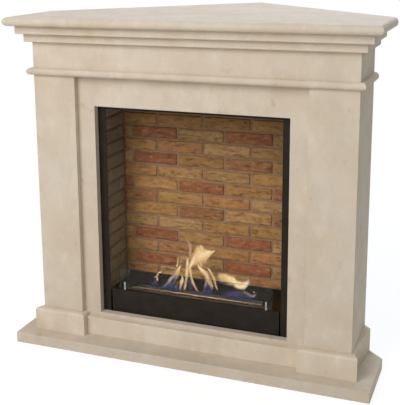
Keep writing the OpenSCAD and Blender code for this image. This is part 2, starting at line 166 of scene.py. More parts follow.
floor_paint = bpy.data.materials.new("floor_paint")
floor_paint.use_nodes = True
tree = floor_paint.node_tree
tree.nodes.clear()
matt = add_step(tree, "BsdfDiffuse", {"Color": pale_screed})[0]
shaded = add_step(tree, "BsdfDiffuse", {"Color": shadow_grey})[0]
glow = add_step(tree, "Emission", {"Color": white, "Strength": glow_strength})[0]
near = add_step(tree, "AddShader", {0: shaded, 1: glow})[0]
far = add_step(tree, "Emission", {"Color": white, "Strength": 1.0})[0]
where = add_step(tree, "TexCoord")["Object"]
distance = add_step(tree, "VectorMath", {0: where}, operation="LENGTH")["Value"]
fade = add_step(tree, "MapRange", {"Value": distance, "From Min": shadow_within,
                                   "From Max": white_beyond},
                interpolation_type="SMOOTHSTEP")["Result"]
floor_seen = add_step(tree, "MixShader", {0: fade, 1: near, 2: far})[0]
floor_mix = add_step(tree, "MixShader", {0: seen_directly(tree), 1: matt, 2: floor_seen})[0]
add_step(tree, "OutputMaterial", {"Surface": floor_mix})

bm = bmesh.new()
bmesh.ops.create_grid(bm, x_segments=2, y_segments=2, size=floor_half)
make_piece(bm, "floor", [floor_paint])


# ---------------------------------------------------------------- Hearth slab
# The pentagonal slab of honed limestone that the mantel stands on. It is sawn from one
# plate, its two back edges follow the walls, and its arrises are eased with a rub stone.
def linear(red, green, blue):
    """A colour given in 0 to 255, as the shaders take it"""
    part = [v / 255 for v in (red, green, blue)]
    part = [v / 12.92 if v <= 0.04045 else ((v + 0.055) / 1.055) ** 2.4 for v in part]
    return (*part, 1)


def new_finish(name, colour, roughness, **sockets):
    """A surface finish, and the tree and shader that its pattern is joined to"""
    finish = bpy.data.materials.new(name)
    finish.use_nodes = True
    shader = finish.node_tree.nodes["Principled BSDF"]
    shader.inputs["Base Color"].default_value = colour
    shader.inputs["Roughness"].default_value = roughness
    for socket, value in sockets.items():
        shader.inputs[socket.replace("_", " ")].default_value = value
    return finish, finish.node_tree, shader


def mottle(tree, scale, detail=4.0, roughness=0.55, stretch=(1, 1, 1), offset=(0, 0, 0)):
    """Cloudy pattern that stays fixed in the piece"""
    place = add_step(tree, "TexCoord")["Object"]
    drawn = add_step(tree, "Mapping", {"Vector": place, "Scale": stretch, "Location": offset})[0]
    return add_step(tree, "TexNoise", {"Vector": drawn, "Scale": scale, "Detail": detail,
                                       "Roughness": roughness})["Fac"]


def narrow(tree, value, low, high, to_low=0.0, to_high=1.0):
    """Keeps the part of a pattern between two levels and spreads it"""
    return add_step(tree, "MapRange", {"Value": value, "From Min": low, "From Max": high,
                                       "To Min": to_low, "To Max": to_high})["Result"]


def tint(tree, amount, under, over):
    """Lays one colour over another by a pattern"""
    return add_step(tree, "Mix", {0: amount, 6: under, 7: over}, data_type="RGBA")[2]


def clouds(tree, under, over, pattern, low, high, dense=1.0):
    """Lays a colour over another in clouds, which are densest where the pattern is high"""
    return tint(tree, narrow(tree, mottle(tree, *pattern), low, high, 0, dense), under, over)


def vary_gloss(tree, shader, least, most, *pattern):
    """Lets the roughness change over the surface"""
    tree.links.new(narrow(tree, mottle(tree, *pattern), 0.3, 0.7, least, most),
                   shader.inputs["Roughness"])


def roughen(tree, shader, height, depth):
    """Raises the surface by a pattern, by at most depth metres"""
    before = [link.from_socket for link in shader.inputs["Normal"].links]
    bump = add_step(tree, "Bump", {"Height": height, "Distance": depth,
                                   **({"Normal": before[0]} if before else {})})
    tree.links.new(bump[0], shader.inputs["Normal"])


def cut_stone(name, tone):
    """Honed limestone. No two plates have quite the same tone."""
    def stone_colour(red, green, blue):
        return (*(part * tone for part in linear(red, green, blue)[:3]), 1)

    finish, tree, shader = new_finish(name, stone_colour(216, 201, 180), 0.62,
                                      Specular_IOR_Level=0.3)
    cream, sand = stone_colour(218, 205, 187), stone_colour(209, 192, 168)
    drift, rust_stain = stone_colour(203, 190, 171), stone_colour(196, 171, 138)
    spot, fleck = stone_colour(184, 158, 126), stone_colour(182, 158, 128)
    powder = stone_colour(228, 217, 200)
    colour = cream
    for over, pattern, low, high, dense in (
            (sand, (5.0, 5, 0.6), 0.35, 0.7, 1.0),
            (drift, (19, 4, 0.6, (1, 1, 0.6), (2, 6, 4)), 0.46, 0.66, 0.5),
            (rust_stain, (2.6, 4, 0.6, (1, 1, 1.6), (3, 1, 5)), 0.55, 0.76, 0.5),
            (spot, (21, 3, 0.5, (1, 1, 1), (8, 3, 6)), 0.66, 0.78, 0.55),
            (fleck, (85, 3, 0.7), 0.62, 0.78, 0.25),
            (powder, (24, 4, 0.6, (1, 1, 0.7), (7, 2, 1)), 0.52, 0.75, 0.5)):
        colour = clouds(tree, colour, over, pattern, low, high, dense)
    tree.links.new(colour, shader.inputs["Base Color"])
    vary_gloss(tree, shader, 0.55, 0.72, 40, 4)
    roughen(tree, shader, mottle(tree, 260, 3, 0.6), 0.0004)
    roughen(tree, shader, mottle(tree, 14, 2, 0.5), 0.0006)
    return finish


weld = 1e-6
crease_angle = 0.6


def blank(low, high):
    """A block sawn to the two corners"""
    bm = bmesh.new()
    bmesh.ops.create_cube(bm, size=1)
    bmesh.ops.scale(bm, vec=Vector(high) - Vector(low), verts=bm.verts)
    bmesh.ops.translate(bm, vec=(Vector(low) + Vector(high)) / 2, verts=bm.verts)
    return bm


def saw(bm, through, away):
    """Cuts off what lies beyond a plane and closes the cut with a flat face"""
    cut = bmesh.ops.bisect_plane(bm, geom=bm.verts[:] + bm.edges[:] + bm.faces[:], dist=1e-7,
                                 plane_co=through, plane_no=away, clear_outer=True)
    rim = [e for e in cut["geom_cut"] if isinstance(e, bmesh.types.BMEdge)]
    for face in bmesh.ops.holes_fill(bm, edges=rim)["faces"]:
        face.smooth = False


def round_over(bm, edges, radius, segments):
    """Rounds the given edges. Only the rounded strip is shaded smooth."""
    made = bmesh.ops.bevel(bm, geom=edges, offset=radius, offset_type="OFFSET", affect="EDGES",
                           segments=segments, profile=0.5, material=-1, clamp_overlap=True)
    for face in made["faces"]:
        face.smooth = True


def sharp_edges(bm):
    """The edges between two faces at an angle, apart from those inside a rounding"""
    return [e for e in bm.edges if len(e.link_faces) == 2
            and e.calc_face_angle(0) > crease_angle
            and not all(f.smooth for f in e.link_faces)]


def set_in_place(bm, name, finishes, node, body="surround"):
    """Makes the finished piece, which rides on its body and stands for its CAD node"""
    bmesh.ops.remove_doubles(bm, verts=bm.verts, dist=weld)
    bmesh.ops.recalc_face_normals(bm, faces=bm.faces)
    for edge in sharp_edges(bm):
        edge.smooth = False
    piece = make_piece(bm, name, finishes)
    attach(piece, body)
    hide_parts(node)


slab_arris = 0.0018
slab_low, slab_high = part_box("hearth_slab")
wall_reach = slab_high.y
to_right_wall, to_left_wall = Vector((1, 1, 0)), Vector((-1, 1, 0))
at_walls = Vector((0, wall_reach, 0))

slab_stone = cut_stone("limestone_slab", 0.95)
bm = blank(slab_low, slab_high)
saw(bm, at_walls, to_right_wall)
saw(bm, at_walls, to_left_wall)
round_over(bm, sharp_edges(bm), slab_arris, segments=2)
set_in_place(bm, "hearth_stone", [slab_stone], "hearth_slab")


# ---------------------------------------------------------------- Plinth blocks
# Each block is wrapped round the foot of a pilaster and runs back along the side panel to
# the wall. Its top edge is ground to a quarter round, mitred at the corner.
foot_stone = cut_stone("limestone_foot", 1.08)
body_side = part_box("pilaster_right")[1].x
facing_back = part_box("pilaster_right")[1].y
plinth_round, upright_arris = 0.0078, 0.0010
flush, shortest_upright = 1e-5, 0.02


def reach(edge, axis):
    """How far an edge runs along an axis: 0, 1 or 2 for X, Y or Z"""
    return abs(edge.verts[0].co[axis] - edge.verts[1].co[axis])


def lies_at(edge, axis, place):
    """Whether an edge lies in the plane that cuts the axis at a place"""
    return all(abs(v.co[axis] - place) < flush for v in edge.verts)


def is_upright(edge):
    """Whether an edge runs up far enough to be a corner of the piece"""
    return reach(edge, 2) > shortest_upright


def crease_mitres(bm):
    """Keeps the line crisp where two rounded edges meet at a corner"""
    for edge in bm.edges:
        if min(reach(edge, 0), reach(edge, 1)) > weld and all(f.smooth for f in edge.link_faces):
            edge.smooth = False


def flip_to_left(bm):
    """Turns a right-hand piece into its left-hand twin"""
    bmesh.ops.scale(bm, vec=(-1, 1, 1), verts=bm.verts)
    bmesh.ops.reverse_faces(bm, faces=bm.faces)


for side in ("right", "left"):
    low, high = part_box("plinth_right")
    bm = bmesh.new()
    foot = [bm.verts.new((x, y, low.z)) for x, y in (
        (low.x, low.y), (high.x, low.y), (high.x, wall_reach - high.x),
        (body_side, wall_reach - body_side), (body_side, facing_back), (low.x, facing_back))]
    bottom = bmesh.ops.contextual_create(bm, geom=foot)["faces"]
    risen = bmesh.ops.extrude_face_region(bm, geom=bottom, use_keep_orig=True)["geom"]
    bmesh.ops.translate(bm, vec=(0, 0, high.z - low.z),
                        verts=[v for v in risen if isinstance(v, bmesh.types.BMVert)])
    bmesh.ops.recalc_face_normals(bm, faces=bm.faces)
    top_edges = [e for e in bm.edges if lies_at(e, 2, high.z) and (
        lies_at(e, 1, low.y) or lies_at(e, 0, high.x) or lies_at(e, 0, low.x))]
    round_over(bm, top_edges, plinth_round, segments=6)
    round_over(bm, [e for e in sharp_edges(bm) if is_upright(e)], upright_arris, segments=1)
    crease_mitres(bm)
    if side == "left":
        flip_to_left(bm)
    set_in_place(bm, "plinth_stone_" + side, [foot_stone], "plinth_" + side)


# ---------------------------------------------------------------- Plinth rail
# The low board between the plinth blocks. It is glued to the sill panel behind it, and its
# top edge is only eased, so that it throws a fine shadow line.
arris = 0.0012
bm = blank(*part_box("plinth_rail"))
round_over(bm, sharp_edges(bm), arris, segments=2)
set_in_place(bm, "rail_stone", [foot_stone], "plinth_rail")


# ---------------------------------------------------------------- Pilasters and frieze
# Facing boards, 18 mm thick, glued over the frame of panels. The pilasters stand on the
# plinth blocks and carry the frieze, with the joint hidden behind the half-round band.
limestone = cut_stone("limestone", 1.0)
for node in ("pilaster_left", "pilaster_right", "frieze"):
    bm = blank(*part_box(node))
    round_over(bm, sharp_edges(bm), arris, segments=2)
    set_in_place(bm, node + "_stone", [limestone], node)


# ---------------------------------------------------------------- Side panels
# They close the sides from the facing boards back to the wall, where they are sawn at 45
# degrees to lie against it. The sawn edge stays sharp.
panel_arris = arris * 0.6
for side, to_wall in (("right", to_right_wall), ("left", to_left_wall)):
    node = "side_panel_" + side
    low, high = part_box(node)
    bm = blank(low, high)
    saw(bm, at_walls, to_wall)
    front_edges = [e for e in sharp_edges(bm) if is_upright(e) and lies_at(e, 1, low.y)]
    round_over(bm, front_edges, panel_arris, segments=1)
    set_in_place(bm, node + "_stone", [limestone], node)


# ---------------------------------------------------------------- Frame round the fire
# Two stiles, a sill and a header panel, set back behind the pilasters. They are glued edge
# to edge from 22 mm plate, and the joints are filled, so that only a hairline is left.
filled_arris = arris * 0.2
for node in ("stile_left", "stile_right", "sill_panel", "header_panel"):
    bm = blank(*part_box(node))
    round_over(bm, sharp_edges(bm), filled_arris, segments=1)
    set_in_place(bm, node + "_stone", [limestone], node)


# ---------------------------------------------------------------- Half-round band
# A half-round astragal under the frieze, ground to its profile in one length for the front
# and one for each side, with the lengths mitred at the front corners.
def is_level(edge):
    """Whether both ends of an edge are at one height"""
    return reach(edge, 2) < flush


def moulding_lengths(name, radius, segments, seat):
    """Front length and two returns, each from a bar with its outer edge rounded"""
    front_low, front_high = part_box(name + "_front")
    corner = Vector((front_high.x, front_low.y, 0))
    for side in ("front", "right", "left"):
        if side == "front":
            bm = blank(front_low, front_high)
            outer = [e for e in bm.edges if is_level(e) and lies_at(e, 1, front_low.y)]
            round_over(bm, outer, radius, segments)
            saw(bm, corner, Vector((1, 1, 0)))
            saw(bm, Vector((-corner.x, corner.y, 0)), Vector((-1, 1, 0)))
        else:
            low = Vector((body_side - seat, front_low.y, front_low.z))
            high = Vector((front_high.x, wall_reach - body_side + seat, front_high.z))
            bm = blank(low, high)
            outer = [e for e in bm.edges if is_level(e) and lies_at(e, 0, high.x)]
            round_over(bm, outer, radius, segments)
            saw(bm, corner, Vector((-1, -1, 0)))
            saw(bm, at_walls, to_right_wall)
            if side == "left":
                flip_to_left(bm)
        node = name + "_" + side
        set_in_place(bm, node + "_stone", [limestone], node)


moulding_lengths("astragal", radius=0.0098, segments=10, seat=0.0)


# ---------------------------------------------------------------- Bed mouldings
# Two square fillets that step out under the shelf, the upper one further than the lower.
# They lie on the frieze and the panels, and their outer edges are softened by 2 mm.
panel_seat = body_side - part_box("side_panel_right")[0].x
for name in ("bed_lower", "bed_upper"):
    moulding_lengths(name, radius=0.0020, segments=3, seat=panel_seat)


# ---------------------------------------------------------------- Mantel shelf
# One pentagonal plate of limestone that covers the whole plan and reaches further back, to
# the walls themselves. The front and side edges are ground to a full bullnose.
shelf_low, shelf_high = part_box("mantel_shelf")
nose_radius = 0.0128
bm = blank(shelf_low, shelf_high)
nose = [e for e in bm.edges if is_level(e) and not lies_at(e, 1, shelf_high.y)]
round_over(bm, nose, nose_radius, segments=12)
crease_mitres(bm)
corner_of_walls = Vector((0, shelf_high.y, 0))
saw(bm, corner_of_walls, to_right_wall)
saw(bm, corner_of_walls, to_left_wall)
set_in_place(bm, "shelf_stone", [limestone], "mantel_shelf")


# ---------------------------------------------------------------- Firebox
# Floor, sides, back and roof of 1.5 mm sheet steel, spot-welded at the corners and stove
# enamelled in matt black, on two folded rails that stand on the hearth slab.
enamel, tree, shader = new_finish("matt_black_enamel", linear(34, 33, 32), 0.7,
                                  Specular_IOR_Level=0.35)
tree.links.new(clouds(tree, linear(30, 29, 28), linear(46, 43, 40), (9, 5), 0.35, 0.75),
               shader.inputs["Base Color"])
roughen(tree, shader, mottle(tree, 600, 2), 0.0002)


def finish_nodes(finish, *nodes):
    """CAD solids whose shape is right only take their finish"""
    for node in nodes:
        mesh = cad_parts[node].data
        mesh.materials.clear()
        mesh.materials.append(finish)


finish_nodes(enamel, "firebox_floor", "firebox_side_left", "firebox_side_right",
             "firebox_back", "firebox_roof", "support_left", "support_right")


# ---------------------------------------------------------------- Front flange
# A three-sided frame of 2 mm steel behind the stone. It covers the raw edges of the lining
# boards at both sides and at the top, and is powder-coated in satin black.
satin_black, tree, shader = new_finish("satin_black_powder", linear(32, 26, 20), 0.45,
                                       Specular_IOR_Level=0.16)
tree.links.new(clouds(tree, linear(29, 23, 16), linear(42, 35, 27), (30, 4), 0.3, 0.7),
               shader.inputs["Base Color"])
vary_gloss(tree, shader, 0.38, 0.52, 18, 3, 0.5, (1, 1, 1), (2, 5, 3))
roughen(tree, shader, mottle(tree, 900, 2), 0.00012)
finish_nodes(satin_black, "front_flange")


# ---------------------------------------------------------------- Brick lining
# Three boards cast in one with their bricks, like a wall in running bond. The bricks stand
# out of the mortar, and have torn creases, chipped edges and the mixed colours of old
# hand-made bricks: mostly ochre, with single orange and red ones.
brick_length, brick_height, joint = 0.143, 0.033, 0.008
brick_proud, board_thickness = 0.004, 0.018
half_bond, bricks_each_way = 0.068, 6
above_floor = 0.017
first_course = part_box("firebox_floor")[1].z + above_floor
ochre, buff, orange, russet, red = 0.0, 0.22, 0.5, 0.75, 1.0


def painted(tree, name):
    """What is painted on the points of the mesh: three numbers, and a fourth in the alpha"""
    paint = add_step(tree, "Attribute", attribute_name=name)
    parts = add_step(tree, "SeparateColor", {0: paint["Color"]})
    return parts[0], parts[1], parts[2], paint["Alpha"]


def blend(tree, value, *stops):
    """Colours that follow each other along a pattern, each with its place from 0 to 1"""
    step = tree.nodes.new("ShaderNodeValToRGB")
    tree.links.new(value, step.inputs[0])
    ends = step.color_ramp.elements
    for end, (place, colour) in ((0, stops[0]), (1, stops[-1])):
        ends[end].position = place
        ends[end].color = colour
    for place, colour in stops[1:-1]:
        step.color_ramp.elements.new(place).color = colour
    return step.outputs["Color"]


def along_axis(tree, axis):
    """How far a point lies along an axis of the object, in metres"""
    place = add_step(tree, "TexCoord")["Object"]
    return add_step(tree, "SeparateXYZ", {0: place})[axis]


def painted_top_shade(tree, colour):
    """Painted shade: darkens the lining towards its top, where the header's shadow falls, and
    less again at the very top, where the lamp's own shadow darkens it
    """
    shade_from, shade_to = 0.50, 0.70
    unshaded, deepest_shade, shade_at_top = (0, 0, 0, 1), (0.27, 0.27, 0.27, 1), (0.05, 0.05, 0.05, 1)
    shade_amount = blend(tree, narrow(tree, along_axis(tree, "Z"), shade_from, shade_to),
                 (0.0, unshaded), (0.60, deepest_shade), (0.72, deepest_shade), (1.0, shade_at_top))
    return tint(tree, shade_amount, colour, linear(62, 46, 31))


brick_clay, tree, shader = new_finish("brick_clay", linear(150, 110, 60), 0.9,
                                      Specular_IOR_Level=0.2)
tone, lightness, dusty, _ = painted(tree, "brick")
clay = blend(tree, tone, (ochre, linear(173, 129, 79)), (buff, linear(185, 146, 98)),
             (orange, linear(183, 129, 84)), (russet, linear(158, 111, 74)),
             (red, linear(159, 98, 69)))
uneven = mottle(tree, 11, 2, 0.5, (1, 1, 2.4), (5, 3, 1))
clay = add_step(tree, "HueSaturation", {
    "Color": clay, "Value": narrow(tree, lightness, 0, 1, 0.86, 1.10),
    "Hue": narrow(tree, uneven, 0.3, 0.7, 0.493, 0.507)})["Color"]
clay = clouds(tree, clay, linear(128, 88, 48), (30, 6, 0.7, (1, 1, 2)), 0.46, 0.66, 0.50)
clay = clouds(tree, clay, linear(212, 172, 118), (46, 5, 0.7, (1, 1, 1.8), (4, 1, 9)),
              0.50, 0.70, 0.42)
creases = narrow(tree, mottle(tree, 1.0, 6, 0.75, (34, 34, 120), (1, 3, 2)), 0.55, 0.66)
# painted shade in the creases: darkened in colour, on top of their bump below
clay = tint(tree, narrow(tree, creases, 0, 1, 0, 0.50), clay, linear(84, 56, 32))
pits = narrow(tree, mottle(tree, 190, 2, 0.5), 0.64, 0.72)
# painted shade in the pits
clay = tint(tree, narrow(tree, pits, 0, 1, 0, 0.35), clay, linear(80, 58, 38))
# painted shade: the clay of the side boards, which stand in the shade, is turned greyer
clay = tint(tree, narrow(tree, dusty, 0, 1, 0, 0.75), clay, linear(142, 134, 114))
# painted shade towards the top of the lining, laid over the clay
tree.links.new(painted_top_shade(tree, clay), shader.inputs["Base Color"])
roughen(tree, shader, mottle(tree, 120, 5, 0.7), 0.0012)
roughen(tree, shader, narrow(tree, creases, 0, 1, 1, 0), 0.0012)

mortar, tree, shader = new_finish("mortar", linear(156, 127, 98), 0.95, Specular_IOR_Level=0.1)
_, _, dusty, _ = painted(tree, "brick")
sand = clouds(tree, linear(164, 133, 103), linear(138, 110, 84), (45, 5, 0.7), 0.35, 0.7)
# painted shade: the mortar of the side boards is turned greyer too
sand = tint(tree, narrow(tree, dusty, 0, 1, 0, 0.8), sand, linear(128, 118, 100))
# painted shade towards the top of the lining, laid over the mortar
tree.links.new(painted_top_shade(tree, sand), shader.inputs["Base Color"])
roughen(tree, shader, mottle(tree, 420, 4, 0.7), 0.0008)


face_inset, cell, near_edge = 0.0042, 0.0065, 0.0035
drawn_in_at_ends, drawn_in_at_sides = 0.05, 0.010
fall_back_and_spread = ((0.0008, 0.0016), (0.0020, 0.0011), (0.0060, 0.0))


def shape_brick(bm, start, end, bottom, top):
    """A brick's face, drawn in at its corners, with edges that fall back to the mortar"""
    length, height = end - start, top - bottom
    middle = Vector(((start + end) / 2, -brick_proud, (bottom + top) / 2))
    rim = bmesh.ops.create_grid(bm, x_segments=max(2, round(length / cell)), y_segments=6,
                                size=0.5)["verts"]
    for v in rim:
        worn_end, worn_side = abs(2 * v.co.x) ** 14, abs(2 * v.co.y) ** 6
        v.co.x *= 1 - drawn_in_at_sides * worn_side
        v.co.y *= 1 - drawn_in_at_ends * worn_end
    bmesh.ops.scale(bm, vec=(length - face_inset, height - face_inset, 1), verts=rim)
    bmesh.ops.rotate(bm, cent=(0, 0, 0), matrix=Matrix.Rotation(math.pi / 2, 3, "X"), verts=rim)
    bmesh.ops.translate(bm, vec=middle, verts=rim)
    points = list(rim)
    for depth, spread in fall_back_and_spread:
        open_edges = [e for v in rim for e in v.link_edges if len(e.link_faces) == 1]
        out = bmesh.ops.extrude_edge_only(bm, edges=list(dict.fromkeys(open_edges)))["geom"]
        rim = [g for g in out if isinstance(g, bmesh.types.BMVert)]
        for v in rim:
            v.co.y += depth
            across, up = v.co.x - middle.x, v.co.z - middle.z
            if abs(abs(across) - length / 2) < near_edge:
                v.co.x += math.copysign(spread, across)
            if abs(abs(up) - height / 2) < near_edge:
                v.co.z += math.copysign(spread, up)
        points += rim
    return points


crease_depth, wear, patches = 0.0007, 0.0016, 55
lift_kept, wear_inwards = 0.5, 0.6


def tear(v, seed, lift, top_of_board):
    """Moves a point of a brick's skin into a torn crease or a worn patch"""
    torn = noise.noise(Vector((v.co.x * 30 + seed, v.co.y, v.co.z * 150))) * crease_depth
    worn = noise.noise_vector(Vector((v.co.x * patches, seed * 3.1, v.co.z * patches))) * wear
    v.co.y = max(v.co.y + torn + lift * lift_kept + abs(worn.y) * wear_inwards, -brick_proud)
    v.co.x += worn.x
    v.co.z = min(v.co.z + worn.z, top_of_board)


least_lift, most_lift = -0.0006, 0.0008
skin_from = -0.0005


def lay_wall(left, right, low_z, high_z, joint_place, turn, accents, seed, dust):
    """A lining board, built with its mortar face along Y = 0 and then turned into place.
    Each end is a pair: where its bricks stop, and where the board stops."""
    rng = random.Random(seed)
    noise.seed_set(seed)  # else the clock seeds noise_vector, and each run wears differently
    bm = blank((left[1], 0, low_z), (right[1], board_thickness, high_z))
    marks = bm.verts.layers.float_color.new("brick")
    for face in bm.faces:
        face.material_index = 1
    # the third number is the board's painted grey shade
    for v in bm.verts:
        v[marks] = (0, 0, dust, 1)
    course, step = brick_height + joint, brick_length + joint
    for row in range(math.ceil((high_z - first_course) / course)):
        bottom = first_course + row * course
        top = min(bottom + brick_height, high_z)
        if top - bottom < joint:
            continue
        for number in range(-bricks_each_way, bricks_each_way + 1):
            start = joint_place + joint / 2 + number * step + (row % 2) * half_bond
            start, end = max(left[0], start), min(right[0], start + brick_length)
            if end - start < joint:
                continue
            tone = accents.get((row, number))
            if tone is None:
                tone = rng.choice((ochre, ochre, ochre, buff, buff * 0.5))
            points = shape_brick(bm, start, end, bottom, top)
            lift = rng.uniform(least_lift, most_lift)
            lightness = rng.random()
            for v in points:
                v[marks] = (tone, lightness, dust, 1)
                if v.co.y < skin_from:
                    tear(v, seed, lift, high_z)
    for face in bm.faces:
        if face.material_index == 0:
            face.smooth = True
    bmesh.ops.transform(bm, matrix=turn, verts=bm.verts)
    return bm


def wall_piece(name, node, **measures):
    """Lays a board and makes it the finished piece, which rides on the surround"""
    bm = lay_wall(**measures)
    bmesh.ops.recalc_face_normals(bm, faces=bm.faces)
    piece = make_piece(bm, name, [brick_clay, mortar])
    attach(piece, "surround")
    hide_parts(node)


back_low, back_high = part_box("brick_board_back")
side_low, side_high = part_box("brick_board_left")
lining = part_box("brick_board_right")[0].x
corner_gap = 0.0005
back_accents = {
    (13, -2): red, (13, 0): red, (12, -1): orange, (11, -3): buff, (11, -2): red,
    (11, 0): russet, (9, -3): red, (9, -1): red, (9, 1): red, (8, -2): russet, (8, 0): orange,
    (7, -3): russet, (7, -1): russet, (7, 1): russet, (6, -1): buff, (5, -2): red, (5, 0): red,
    (4, -1): orange, (4, 1): orange, (3, -2): red, (3, 0): red, (2, 1): orange, (15, -1): red,
}
wall_piece("lining_back", "brick_board_back", left=(-lining + corner_gap, back_low.x),
           right=(lining - corner_gap, back_high.x), low_z=back_low.z, high_z=back_high.z,
           joint_place=-0.014, turn=Matrix.Translation((0, back_low.y + brick_proud, 0)),
           accents=back_accents, seed=3, dust=0.0)

side_accents = {
    (14, 0): red, (13, -1): russet, (11, 0): russet, (9, -1): russet, (8, 0): red,
    (6, 0): orange, (4, -1): red, (3, 0): russet,
}
depth = side_high.y - side_low.y
side_joint = 0.032
# the side boards carry the painted grey shade in full, the back board carries none
for side, sign, front, rear, seed in (
        ("left", 1, (0.0, 0.0), (depth - brick_proud, depth), 5),
        ("right", -1, (-depth + brick_proud, -depth), (0.0, 0.0), 8)):
    turn = (Matrix.Translation((-sign * (lining + brick_proud), side_low.y, 0))
            @ Matrix.Rotation(sign * math.pi / 2, 4, "Z"))
    wall_piece("lining_" + side, "brick_board_" + side, left=front, right=rear,
               low_z=side_low.z, high_z=side_high.z, joint_place=sign * side_joint, turn=turn,
               accents=side_accents, seed=seed, dust=1.0)


# ---------------------------------------------------------------- Burner housing and deck
# A folded case of 1.5 mm steel with the deck plate screwed on top, all in satin black. The
# strip at the back is turned up to close the gap to the bricks.
finish_nodes(satin_black, "burner_housing", "deck_plate", "deck_upstand", "guide_bar_left",
             "guide_bar_right", "guide_cap_left", "guide_cap_right", "deck_screws")


# ---------------------------------------------------------------- Fuel tray and slot plate
# The stainless tray hangs from its plate in the deck. Next to the slot, the plate is dark,
# and further out it has the brown tint of steel that has been hot.
stainless, tree, shader = new_finish("stainless_sheet", linear(176, 172, 166), 0.3, Metallic=1.0)
vary_gloss(tree, shader, 0.24, 0.42, 60, 3, 0.5, (0.04, 1, 1))
roughen(tree, shader, mottle(tree, 500, 2, 0.5, (0.03, 1, 1)), 0.0001)
finish_nodes(stainless, "fuel_tray")

plate_low, plate_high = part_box("slot_plate")
dark_within, brown_beyond = 0.013, 0.026
heat_tint, tree, shader = new_finish("heat_tinted_steel", linear(70, 56, 42), 0.46,
                                     Metallic=0.12, Specular_IOR_Level=0.12)
off_middle = calculate(tree, "SUBTRACT", along_axis(tree, "Y"), (plate_low.y + plate_high.y) / 2)
wobble = narrow(tree, mottle(tree, 30, 3), 0.3, 0.7, -0.003, 0.003)
from_slot = calculate(tree, "ADD", calculate(tree, "ABSOLUTE", off_middle), wobble)
heat = blend(tree, narrow(tree, from_slot, dark_within, brown_beyond),
             (0.0, linear(38, 34, 36)), (0.3, linear(46, 36, 30)),
             (0.6, linear(66, 50, 34)), (1.0, linear(60, 48, 34)))
tree.links.new(heat, shader.inputs["Base Color"])
finish_nodes(heat_tint, "slot_plate")


# ---------------------------------------------------------------- Bright lip
# A small square bar of polished stainless steel in front of the slot, which stops the
# shutter and catches the light of the flames.
polished, tree, shader = new_finish("polished_steel", linear(196, 162, 118), 0.2, Metallic=1.0)
vary_gloss(tree, shader, 0.12, 0.26, 90, 3, 0.5, (0.1, 1, 1))
lip_arris = 0.0008
bm = blank(*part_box("slot_lip"))
round_over(bm, sharp_edges(bm), lip_arris, segments=2)
set_in_place(bm, "lip_bar", [polished], "slot_lip")


# ---------------------------------------------------------------- Ceramic wool
# A pad of white ceramic fibre that fills the tray and holds the fuel. Its top is soft and
# uneven, and slightly browned where the flames stand on it.
clean_fibre, browned_fibre = linear(226, 222, 212), linear(150, 136, 118)
wool, tree, shader = new_finish("ceramic_wool", clean_fibre, 1.0)
tree.links.new(clouds(tree, clean_fibre, browned_fibre, (40, 5, 0.7), 0.45, 0.75, 0.6),
               shader.inputs["Base Color"])
roughen(tree, shader, mottle(tree, 300, 4, 0.8, (0.3, 1, 1)), 0.002)
wool_low, wool_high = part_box("wool_pad")
tuft_depth, tuft_grain = 0.0012, 130
bm = blank(wool_low, wool_high)
for axis, longer_than, cuts in ((0, 0.1, 90), (1, 0.01, 8)):
    bmesh.ops.subdivide_edges(bm, edges=[e for e in bm.edges if reach(e, axis) > longer_than],
                              cuts=cuts)
for v in bm.verts:
    if v.co.z > wool_high.z - flush:
        v.co.z -= tuft_depth + tuft_depth * noise.noise(v.co * tuft_grain)
for face in bm.faces:
    face.smooth = face.normal.z > 0.5
set_in_place(bm, "wool_filling", [wool], "wool_pad")


# ---------------------------------------------------------------- Shutter and knob
# A flat plate that slides over the slot in its guides and smothers the flames. The knob is
# turned, with a waist for the fire hook, chromed, and riveted through the plate.
finish_nodes(satin_black, "shutter")
chrome, tree, shader = new_finish("chrome", linear(158, 152, 143), 0.10, Metallic=1.0)
vary_gloss(tree, shader, 0.05, 0.12, 70, 3)
ring_face, flat_from = 4e-6, 0.98


def turned(profile, centre, steps=40):
    """A piece turned on the lathe from points of radius and height. Flat discs stay flat."""
    bm = bmesh.new()
    points = [bm.verts.new((r, 0, z)) for r, z in profile]
    line = [bm.edges.new(pair) for pair in zip(points, points[1:])]
    bmesh.ops.spin(bm, geom=points + line, cent=(0, 0, 0), axis=(0, 0, 1), angle=2 * math.pi,
                   steps=steps, use_merge=True)
    bmesh.ops.remove_doubles(bm, verts=bm.verts, dist=weld)
    bmesh.ops.recalc_face_normals(bm, faces=bm.faces)
    for face in bm.faces:
        face.smooth = face.calc_area() < ring_face or abs(face.normal.z) < flat_from
    bmesh.ops.translate(bm, vec=centre, verts=bm.verts)
    return bm


knob_low, knob_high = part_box("shutter_knob")
knob_radius = (knob_high.x - knob_low.x) / 2
knob_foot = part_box("shutter")[1].z
rise = knob_high.z - knob_foot
bm = turned([(0, 0), (knob_radius - 0.0005, 0), (knob_radius, 0.0005), (knob_radius, 0.16 * rise),
             (knob_radius - 0.0006, 0.2 * rise), (0.6 * knob_radius, 0.25 * rise),
             (0.5 * knob_radius, 0.38 * rise), (0.56 * knob_radius, 0.52 * rise),
             (knob_radius - 0.0008, 0.6 * rise), (knob_radius, 0.65 * rise),
             (knob_radius, 0.88 * rise), (knob_radius - 0.0007, 0.96 * rise),
             (0.62 * knob_radius, 0.995 * rise), (0, rise)],
            ((knob_low.x + knob_high.x) / 2, (knob_low.y + knob_high.y) / 2, knob_foot))
set_in_place(bm, "knob_turned", [chrome], "shutter_knob", body="shutter")


